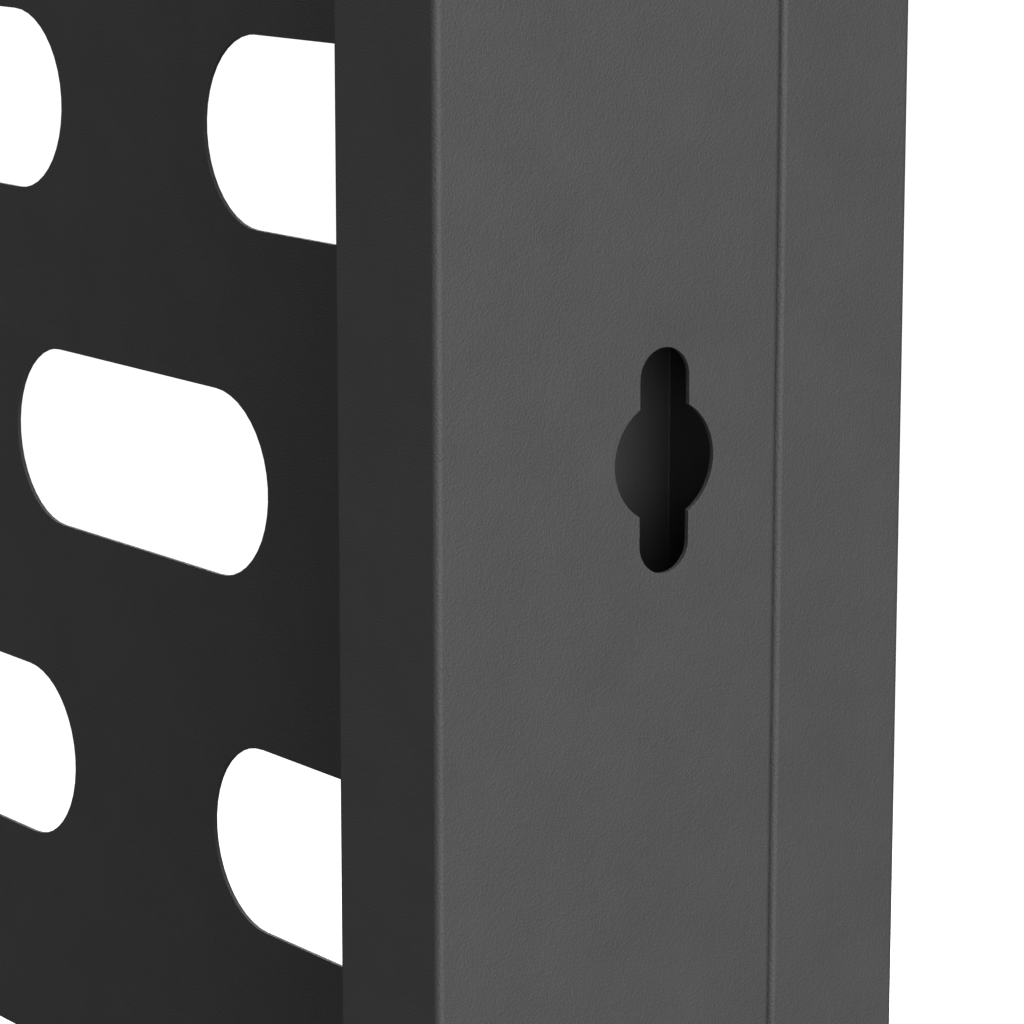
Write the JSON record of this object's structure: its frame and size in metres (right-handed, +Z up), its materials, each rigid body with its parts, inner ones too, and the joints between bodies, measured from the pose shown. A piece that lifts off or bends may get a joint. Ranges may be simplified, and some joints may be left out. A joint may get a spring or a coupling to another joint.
{
  "type": "gondola shelving unit",
  "caption": "Free-standing single-sided gondola bay: keyholed uprights on base legs, slotted sheet back, hanging shelves on side brackets and a base deck.",
  "frame": {"origin": "on the floor, under the middle of the unit's outline", "axes": "+Z up; goods are taken from the -Y side; +X to the right when the shelves are faced"},
  "size_m": [0.93, 0.5104, 1.503],
  "materials": {
    "powder_coat": "fine-texture black powder coat",
    "black_plastic": "moulded, fine spark texture",
    "foot_plastic": "moulded",
    "strip_plastic": "extruded, satin",
    "zinc_steel": "bright zinc plate",
    "black_steel": "black zinc plate"
  },
  "bodies": {
    "frame": {"upright_left": "powder_coat", "upright_cap_left": "black_plastic", "rear_stile_left": "powder_coat", "base_leg_left": "powder_coat", "base_angle_left": "powder_coat", "upright_right": "powder_coat", "upright_cap_right": "black_plastic", "rear_stile_right": "powder_coat", "base_leg_right": "powder_coat", "base_angle_right": "powder_coat", "upright_base_plates": "zinc_steel", "stile_caps": "black_plastic", "leg_caps": "black_plastic", "rear_rail_bottom": "powder_coat", "rear_rail_middle_1": "powder_coat", "rear_rail_middle_2": "powder_coat", "rear_rail_top": "powder_coat", "back_panel_bottom": "powder_coat", "back_panel_middle": "powder_coat", "back_panel_top": "powder_coat", "kick_plate": "powder_coat", "base_bolts": "black_steel", "frame_bolts": "black_steel", "threaded_inserts": "zinc_steel", "sheet_screws": "black_steel", "lock_nuts": "zinc_steel", "weld_nuts": "zinc_steel"},
    "foot_front_left": {"foot_pad_front_left": "foot_plastic", "foot_stem_front_left": "zinc_steel"},
    "foot_front_right": {"foot_pad_front_right": "foot_plastic", "foot_stem_front_right": "zinc_steel"},
    "foot_rear_left": {"foot_pad_rear_left": "foot_plastic", "foot_stem_rear_left": "zinc_steel"},
    "foot_rear_right": {"foot_pad_rear_right": "foot_plastic", "foot_stem_rear_right": "zinc_steel"},
    "deck": {"base_deck": "powder_coat", "deck_stiffeners": "powder_coat", "deck_ticket_strip": "strip_plastic"},
    "bracket_1_left": {"shelf_1_bracket_left": "powder_coat", "shelf_1_studs_left": "zinc_steel"},
    "bracket_1_right": {"shelf_1_bracket_right": "powder_coat", "shelf_1_studs_right": "zinc_steel"},
    "tray_1": {"shelf_1_tray": "powder_coat", "shelf_1_stiffener": "powder_coat", "shelf_1_ticket_strip": "strip_plastic"},
    "bracket_2_left": {"shelf_2_bracket_left": "powder_coat", "shelf_2_studs_left": "zinc_steel"},
    "bracket_2_right": {"shelf_2_bracket_right": "powder_coat", "shelf_2_studs_right": "zinc_steel"},
    "tray_2": {"shelf_2_tray": "powder_coat", "shelf_2_stiffener": "powder_coat", "shelf_2_ticket_strip": "strip_plastic"},
    "bracket_3_left": {"shelf_3_bracket_left": "powder_coat", "shelf_3_studs_left": "zinc_steel"},
    "bracket_3_right": {"shelf_3_bracket_right": "powder_coat", "shelf_3_studs_right": "zinc_steel"},
    "tray_3": {"shelf_3_tray": "powder_coat", "shelf_3_stiffener": "powder_coat", "shelf_3_ticket_strip": "strip_plastic"}
  },
  "joints": [
    {"name": "foot_front_left_height", "type": "slide", "parent": "frame", "child": "foot_front_left", "axis": [0, 0, -1], "range_m": [0, 0.015]},
    {"name": "foot_front_right_height", "type": "slide", "parent": "frame", "child": "foot_front_right", "axis": [0, 0, -1], "range_m": [0, 0.015]},
    {"name": "foot_rear_left_height", "type": "slide", "parent": "frame", "child": "foot_rear_left", "axis": [0, 0, -1], "range_m": [0, 0.015]},
    {"name": "foot_rear_right_height", "type": "slide", "parent": "frame", "child": "foot_rear_right", "axis": [0, 0, -1], "range_m": [0, 0.015]},
    {"name": "deck_lift", "type": "slide", "parent": "frame", "child": "deck", "axis": [0, 0, 1], "range_m": [0, 0.06]},
    {"name": "bracket_1_left_lift", "type": "slide", "parent": "frame", "child": "bracket_1_left", "axis": [0, 0, 1], "range_m": [0, 0.0144]},
    {"name": "bracket_1_right_lift", "type": "slide", "parent": "frame", "child": "bracket_1_right", "axis": [0, 0, 1], "range_m": [0, 0.0144]},
    {"name": "tray_1_lift", "type": "slide", "parent": "bracket_1_left", "child": "tray_1", "axis": [0, 0, 1], "range_m": [0, 0.06]},
    {"name": "bracket_2_left_lift", "type": "slide", "parent": "frame", "child": "bracket_2_left", "axis": [0, 0, 1], "range_m": [0, 0.0144]},
    {"name": "bracket_2_right_lift", "type": "slide", "parent": "frame", "child": "bracket_2_right", "axis": [0, 0, 1], "range_m": [0, 0.0144]},
    {"name": "tray_2_lift", "type": "slide", "parent": "bracket_2_left", "child": "tray_2", "axis": [0, 0, 1], "range_m": [0, 0.06]},
    {"name": "bracket_3_left_lift", "type": "slide", "parent": "frame", "child": "bracket_3_left", "axis": [0, 0, 1], "range_m": [0, 0.0144]},
    {"name": "bracket_3_right_lift", "type": "slide", "parent": "frame", "child": "bracket_3_right", "axis": [0, 0, 1], "range_m": [0, 0.0144]},
    {"name": "tray_3_lift", "type": "slide", "parent": "bracket_3_left", "child": "tray_3", "axis": [0, 0, 1], "range_m": [0, 0.06]}
  ],
  "couplings": [
    {"joint": "bracket_1_right_lift", "follows": "bracket_1_left_lift", "ratio": 1},
    {"joint": "bracket_2_right_lift", "follows": "bracket_2_left_lift", "ratio": 1},
    {"joint": "bracket_3_right_lift", "follows": "bracket_3_left_lift", "ratio": 1}
  ]
}
